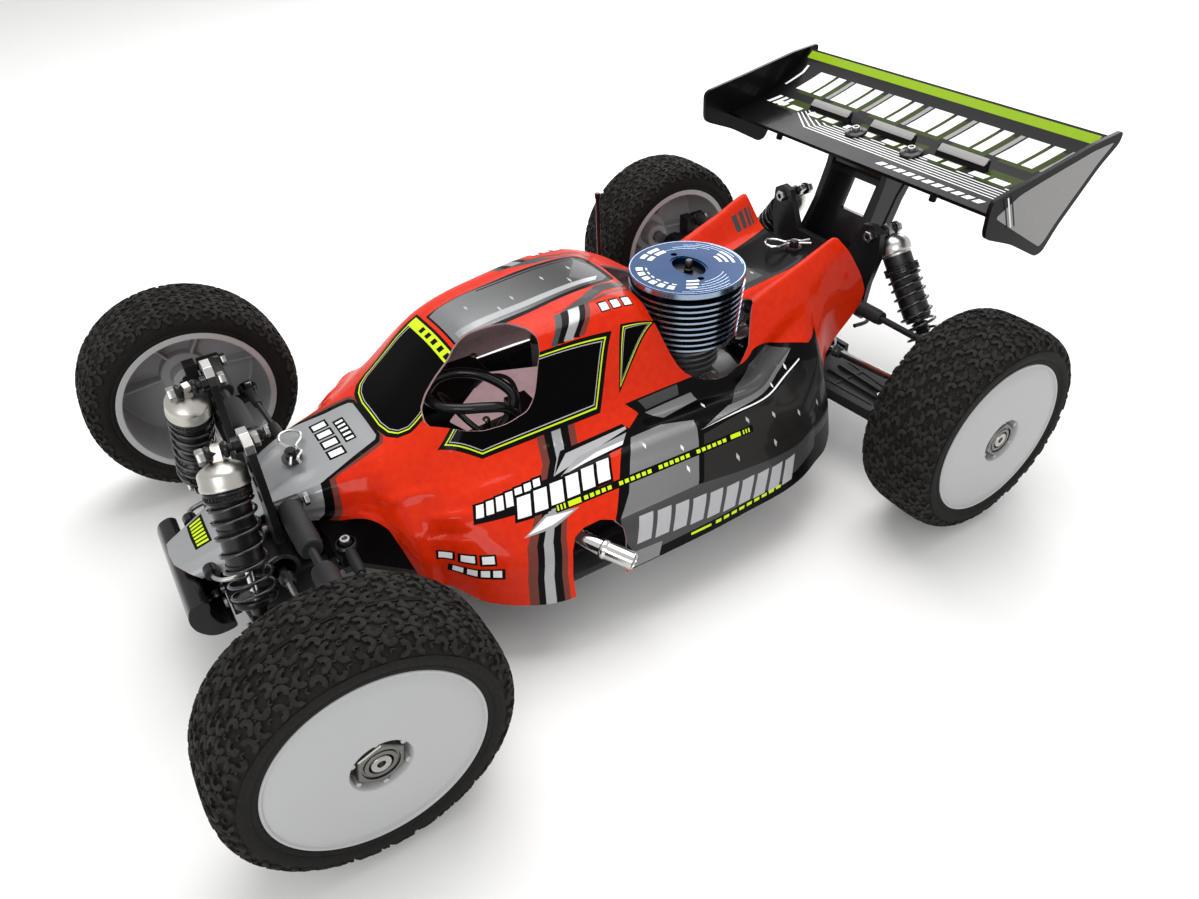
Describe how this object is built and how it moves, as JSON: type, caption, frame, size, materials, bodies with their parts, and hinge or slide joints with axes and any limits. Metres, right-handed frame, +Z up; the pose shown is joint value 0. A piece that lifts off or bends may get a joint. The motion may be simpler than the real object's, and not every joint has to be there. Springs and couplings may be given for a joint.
{
  "type": "rc buggy",
  "caption": "Fuel-powered off-road remote control racing buggy with sprung wishbone suspension, steering, drive shafts, painted body shell and a rear wing.",
  "frame": {"origin": "on the ground, at the centre of the whole length and width", "axes": "+X to the driver's left, -Y forwards, +Z up"},
  "size_m": [0.3116, 0.4898, 0.1754],
  "materials": {
    "tyre": "matt rubber with moulded lugs",
    "rim": "satin light grey moulded nylon",
    "spring": "glossy black lacquered wire",
    "shock_alloy": "machined, partly black anodised",
    "steel": "polished steel",
    "dark_alloy": "gunmetal hard anodised",
    "body_paint": "glossy clear sheet painted red-orange from inside, with silver, grey and black graphics",
    "engine_alloy": "cast and machined alloy",
    "blue_alloy": "blue anodised cooling head",
    "tank_plastic": "translucent moulded fuel tank",
    "wing_plastic": "black moulded nylon with printed film",
    "black_plastic": "fibre-filled black nylon"
  },
  "bodies": {
    "chassis": {"chassis_plate": "dark_alloy", "side_guard_left": "black_plastic", "side_guard_right": "black_plastic", "front_gearbox": "black_plastic", "rear_gearbox": "black_plastic", "front_shock_tower": "black_plastic", "rear_shock_tower": "black_plastic", "front_bumper": "black_plastic", "wing_mount": "black_plastic", "wing": "wing_plastic", "engine_block": "engine_alloy", "engine_head": "blue_alloy", "tuned_pipe": "steel", "fuel_tank": "tank_plastic", "radio_tray": "black_plastic", "body_shell": "body_paint"},
    "front_left_lower_arm": {"front_left_lower_arm": "black_plastic"},
    "front_left_upper_arm": {"front_left_upper_arm": "black_plastic"},
    "front_left_hub_carrier": {"front_left_hub_carrier": "black_plastic"},
    "front_left_knuckle": {"front_left_knuckle": "dark_alloy"},
    "front_left_wheel": {"front_left_wheel": "rim", "front_left_tyre": "tyre"},
    "front_left_half_shaft": {"front_left_half_shaft": "steel"},
    "front_left_shock_body": {"front_left_shock_body": "shock_alloy", "front_left_shock_spring": "spring"},
    "front_left_shock_shaft": {"front_left_shock_shaft": "steel"},
    "front_left_tie_rod": {"front_left_tie_rod": "black_plastic"},
    "rear_left_lower_arm": {"rear_left_lower_arm": "black_plastic"},
    "rear_left_upper_link": {"rear_left_upper_link": "black_plastic"},
    "rear_left_hub_carrier": {"rear_left_hub_carrier": "dark_alloy"},
    "rear_left_wheel": {"rear_left_wheel": "rim", "rear_left_tyre": "tyre"},
    "rear_left_half_shaft": {"rear_left_half_shaft": "steel"},
    "rear_left_shock_body": {"rear_left_shock_body": "shock_alloy", "rear_left_shock_spring": "spring"},
    "rear_left_shock_shaft": {"rear_left_shock_shaft": "steel"},
    "front_right_lower_arm": {"front_right_lower_arm": "black_plastic"},
    "front_right_upper_arm": {"front_right_upper_arm": "black_plastic"},
    "front_right_hub_carrier": {"front_right_hub_carrier": "black_plastic"},
    "front_right_knuckle": {"front_right_knuckle": "dark_alloy"},
    "front_right_wheel": {"front_right_wheel": "rim", "front_right_tyre": "tyre"},
    "front_right_half_shaft": {"front_right_half_shaft": "steel"},
    "front_right_shock_body": {"front_right_shock_body": "shock_alloy", "front_right_shock_spring": "spring"},
    "front_right_shock_shaft": {"front_right_shock_shaft": "steel"},
    "front_right_tie_rod": {"front_right_tie_rod": "black_plastic"},
    "rear_right_lower_arm": {"rear_right_lower_arm": "black_plastic"},
    "rear_right_upper_link": {"rear_right_upper_link": "black_plastic"},
    "rear_right_hub_carrier": {"rear_right_hub_carrier": "dark_alloy"},
    "rear_right_wheel": {"rear_right_wheel": "rim", "rear_right_tyre": "tyre"},
    "rear_right_half_shaft": {"rear_right_half_shaft": "steel"},
    "rear_right_shock_body": {"rear_right_shock_body": "shock_alloy", "rear_right_shock_spring": "spring"},
    "rear_right_shock_shaft": {"rear_right_shock_shaft": "steel"},
    "steering_plate": {"steering_plate": "dark_alloy"},
    "servo_saver": {"servo_saver": "black_plastic"},
    "centre_diff": {"centre_diff": "dark_alloy"},
    "clutch_bell": {"clutch_bell": "steel"}
  },
  "joints": [
    {"name": "front_left_suspension", "type": "hinge", "parent": "chassis", "child": "front_left_lower_arm", "pos_m": [0.024, -0.1885, 0.036], "axis": [0, -1, 0], "range_deg": [-14, 14], "stiffness_Nm_per_rad": 7, "springref_deg": -6.3},
    {"name": "front_left_upper_arm_pivot", "type": "hinge", "parent": "chassis", "child": "front_left_upper_arm", "pos_m": [0.03, -0.1885, 0.08], "axis": [0, -1, 0], "range_deg": [-15, 15]},
    {"name": "front_left_carrier_pivot", "type": "hinge", "parent": "front_left_lower_arm", "child": "front_left_hub_carrier", "pos_m": [0.103, -0.1885, 0.036], "axis": [0, -1, 0], "range_deg": [-15, 15]},
    {"name": "front_left_steering", "type": "hinge", "parent": "front_left_hub_carrier", "child": "front_left_knuckle", "pos_m": [0.108, -0.1885, 0.0565], "axis": [0, 0, 1], "range_deg": [-22, 22]},
    {"name": "front_left_wheel_spin", "type": "hinge", "parent": "front_left_knuckle", "child": "front_left_wheel", "pos_m": [0.13375, -0.1885, 0.0565], "axis": [1, 0, 0], "continuous": true},
    {"name": "front_left_shaft_spin", "type": "hinge", "parent": "front_left_lower_arm", "child": "front_left_half_shaft", "pos_m": [0.028, -0.1885, 0.05], "axis": [0.9957, 0, 0.0925], "continuous": true},
    {"name": "front_left_shock_pivot", "type": "hinge", "parent": "chassis", "child": "front_left_shock_body", "pos_m": [0.027, -0.1968, 0.116], "axis": [0, -1, 0], "range_deg": [-12, 12]},
    {"name": "front_left_shock_stroke", "type": "slide", "parent": "front_left_shock_body", "child": "front_left_shock_shaft", "axis": [0.3807, -0.1024, -0.919], "range_m": [-0.00872, 0.00872], "deforming": ["front_left_shock_spring"]},
    {"name": "front_left_tie_rod_pivot", "type": "hinge", "parent": "steering_plate", "child": "front_left_tie_rod", "pos_m": [0.045, -0.161, 0.059], "axis": [0, -1, 0], "range_deg": [-20, 20]},
    {"name": "rear_left_suspension", "type": "hinge", "parent": "chassis", "child": "rear_left_lower_arm", "pos_m": [0.024, 0.1385, 0.036], "axis": [0, -1, 0], "range_deg": [-14, 14], "stiffness_Nm_per_rad": 7, "springref_deg": -6.3},
    {"name": "rear_left_upper_link_pivot", "type": "hinge", "parent": "chassis", "child": "rear_left_upper_link", "pos_m": [0.033, 0.1385, 0.076], "axis": [0, -1, 0], "range_deg": [-15, 15]},
    {"name": "rear_left_carrier_pivot", "type": "hinge", "parent": "rear_left_lower_arm", "child": "rear_left_hub_carrier", "pos_m": [0.103, 0.1385, 0.036], "axis": [0, -1, 0], "range_deg": [-15, 15]},
    {"name": "rear_left_wheel_spin", "type": "hinge", "parent": "rear_left_hub_carrier", "child": "rear_left_wheel", "pos_m": [0.13375, 0.1385, 0.0565], "axis": [1, 0, 0], "continuous": true},
    {"name": "rear_left_shaft_spin", "type": "hinge", "parent": "rear_left_lower_arm", "child": "rear_left_half_shaft", "pos_m": [0.028, 0.1385, 0.05], "axis": [0.9957, 0, 0.0925], "continuous": true},
    {"name": "rear_left_shock_pivot", "type": "hinge", "parent": "chassis", "child": "rear_left_shock_body", "pos_m": [0.036, 0.172, 0.116], "axis": [0, -1, 0], "range_deg": [-12, 12]},
    {"name": "rear_left_shock_stroke", "type": "slide", "parent": "rear_left_shock_body", "child": "rear_left_shock_shaft", "axis": [0.6019, 0, -0.7986], "range_m": [-0.0152, 0.0152], "deforming": ["rear_left_shock_spring"]},
    {"name": "front_right_suspension", "type": "hinge", "parent": "chassis", "child": "front_right_lower_arm", "pos_m": [-0.024, -0.1885, 0.036], "axis": [0, 1, 0], "range_deg": [-14, 14], "stiffness_Nm_per_rad": 7, "springref_deg": -6.3},
    {"name": "front_right_upper_arm_pivot", "type": "hinge", "parent": "chassis", "child": "front_right_upper_arm", "pos_m": [-0.03, -0.1885, 0.08], "axis": [0, 1, 0], "range_deg": [-15, 15]},
    {"name": "front_right_carrier_pivot", "type": "hinge", "parent": "front_right_lower_arm", "child": "front_right_hub_carrier", "pos_m": [-0.103, -0.1885, 0.036], "axis": [0, 1, 0], "range_deg": [-15, 15]},
    {"name": "front_right_steering", "type": "hinge", "parent": "front_right_hub_carrier", "child": "front_right_knuckle", "pos_m": [-0.108, -0.1885, 0.0565], "axis": [0, 0, 1], "range_deg": [-23, 23]},
    {"name": "front_right_wheel_spin", "type": "hinge", "parent": "front_right_knuckle", "child": "front_right_wheel", "pos_m": [-0.13375, -0.1885, 0.0565], "axis": [1, 0, 0], "continuous": true},
    {"name": "front_right_shaft_spin", "type": "hinge", "parent": "front_right_lower_arm", "child": "front_right_half_shaft", "pos_m": [-0.028, -0.1885, 0.05], "axis": [0.9957, 0, -0.0925], "continuous": true},
    {"name": "front_right_shock_pivot", "type": "hinge", "parent": "chassis", "child": "front_right_shock_body", "pos_m": [-0.027, -0.1968, 0.116], "axis": [0, 1, 0], "range_deg": [-12, 12]},
    {"name": "front_right_shock_stroke", "type": "slide", "parent": "front_right_shock_body", "child": "front_right_shock_shaft", "axis": [-0.3807, -0.1024, -0.919], "range_m": [-0.00872, 0.00872], "deforming": ["front_right_shock_spring"]},
    {"name": "front_right_tie_rod_pivot", "type": "hinge", "parent": "steering_plate", "child": "front_right_tie_rod", "pos_m": [-0.045, -0.161, 0.059], "axis": [0, 1, 0], "range_deg": [-20, 20]},
    {"name": "rear_right_suspension", "type": "hinge", "parent": "chassis", "child": "rear_right_lower_arm", "pos_m": [-0.024, 0.1385, 0.036], "axis": [0, 1, 0], "range_deg": [-14, 14], "stiffness_Nm_per_rad": 7, "springref_deg": -6.3},
    {"name": "rear_right_upper_link_pivot", "type": "hinge", "parent": "chassis", "child": "rear_right_upper_link", "pos_m": [-0.033, 0.1385, 0.076], "axis": [0, 1, 0], "range_deg": [-15, 15]},
    {"name": "rear_right_carrier_pivot", "type": "hinge", "parent": "rear_right_lower_arm", "child": "rear_right_hub_carrier", "pos_m": [-0.103, 0.1385, 0.036], "axis": [0, 1, 0], "range_deg": [-15, 15]},
    {"name": "rear_right_wheel_spin", "type": "hinge", "parent": "rear_right_hub_carrier", "child": "rear_right_wheel", "pos_m": [-0.13375, 0.1385, 0.0565], "axis": [1, 0, 0], "continuous": true},
    {"name": "rear_right_shaft_spin", "type": "hinge", "parent": "rear_right_lower_arm", "child": "rear_right_half_shaft", "pos_m": [-0.028, 0.1385, 0.05], "axis": [0.9957, 0, -0.0925], "continuous": true},
    {"name": "rear_right_shock_pivot", "type": "hinge", "parent": "chassis", "child": "rear_right_shock_body", "pos_m": [-0.036, 0.172, 0.116], "axis": [0, 1, 0], "range_deg": [-12, 12]},
    {"name": "rear_right_shock_stroke", "type": "slide", "parent": "rear_right_shock_body", "child": "rear_right_shock_shaft", "axis": [-0.6019, 0, -0.7986], "range_m": [-0.0152, 0.0152], "deforming": ["rear_right_shock_spring"]},
    {"name": "steering_plate_slide", "type": "slide", "parent": "chassis", "child": "steering_plate", "axis": [1, 0, 0], "range_m": [-0.0105, 0.0105]},
    {"name": "servo_saver_turn", "type": "hinge", "parent": "chassis", "child": "servo_saver", "pos_m": [-0.02, -0.137, 0.044], "axis": [0, 0, 1], "range_deg": [-24, 24]},
    {"name": "centre_diff_spin", "type": "hinge", "parent": "chassis", "child": "centre_diff", "pos_m": [0, -0.015, 0.057], "axis": [0, 1, 0], "continuous": true},
    {"name": "clutch_bell_spin", "type": "hinge", "parent": "chassis", "child": "clutch_bell", "pos_m": [0.031, -0.015, 0.057], "axis": [0, 1, 0], "continuous": true}
  ],
  "couplings": [
    {"joint": "front_left_upper_arm_pivot", "follows": "front_left_suspension", "ratio": 1},
    {"joint": "front_left_carrier_pivot", "follows": "front_left_suspension", "ratio": -1},
    {"joint": "front_left_shaft_spin", "follows": "front_left_wheel_spin", "ratio": 1},
    {"joint": "front_left_shock_pivot", "follows": "front_left_suspension", "ratio": 0.03606},
    {"joint": "front_left_shock_stroke", "follows": "front_left_suspension", "m_per_rad": -0.033025},
    {"joint": "front_left_tie_rod_pivot", "follows": "front_left_suspension", "ratio": 1.258},
    {"joint": "rear_left_upper_link_pivot", "follows": "rear_left_suspension", "ratio": 1},
    {"joint": "rear_left_carrier_pivot", "follows": "rear_left_suspension", "ratio": -1},
    {"joint": "rear_left_shaft_spin", "follows": "rear_left_wheel_spin", "ratio": 1},
    {"joint": "rear_left_shock_pivot", "follows": "rear_left_suspension", "ratio": 0.34094},
    {"joint": "rear_left_shock_stroke", "follows": "rear_left_suspension", "m_per_rad": -0.057612},
    {"joint": "front_right_upper_arm_pivot", "follows": "front_right_suspension", "ratio": 1},
    {"joint": "front_right_carrier_pivot", "follows": "front_right_suspension", "ratio": -1},
    {"joint": "front_right_steering", "follows": "front_left_steering", "ratio": 1},
    {"joint": "front_right_shaft_spin", "follows": "front_right_wheel_spin", "ratio": 1},
    {"joint": "front_right_shock_pivot", "follows": "front_right_suspension", "ratio": 0.03606},
    {"joint": "front_right_shock_stroke", "follows": "front_right_suspension", "m_per_rad": -0.033025},
    {"joint": "front_right_tie_rod_pivot", "follows": "front_right_suspension", "ratio": 1.258},
    {"joint": "rear_right_upper_link_pivot", "follows": "rear_right_suspension", "ratio": 1},
    {"joint": "rear_right_carrier_pivot", "follows": "rear_right_suspension", "ratio": -1},
    {"joint": "rear_right_shaft_spin", "follows": "rear_right_wheel_spin", "ratio": 1},
    {"joint": "rear_right_shock_pivot", "follows": "rear_right_suspension", "ratio": 0.34094},
    {"joint": "rear_right_shock_stroke", "follows": "rear_right_suspension", "m_per_rad": -0.057612},
    {"joint": "steering_plate_slide", "follows": "front_left_steering", "m_per_rad": -0.0254},
    {"joint": "servo_saver_turn", "follows": "front_left_steering", "ratio": -1.0583},
    {"joint": "clutch_bell_spin", "follows": "centre_diff_spin", "ratio": -3.5385}
  ]
}
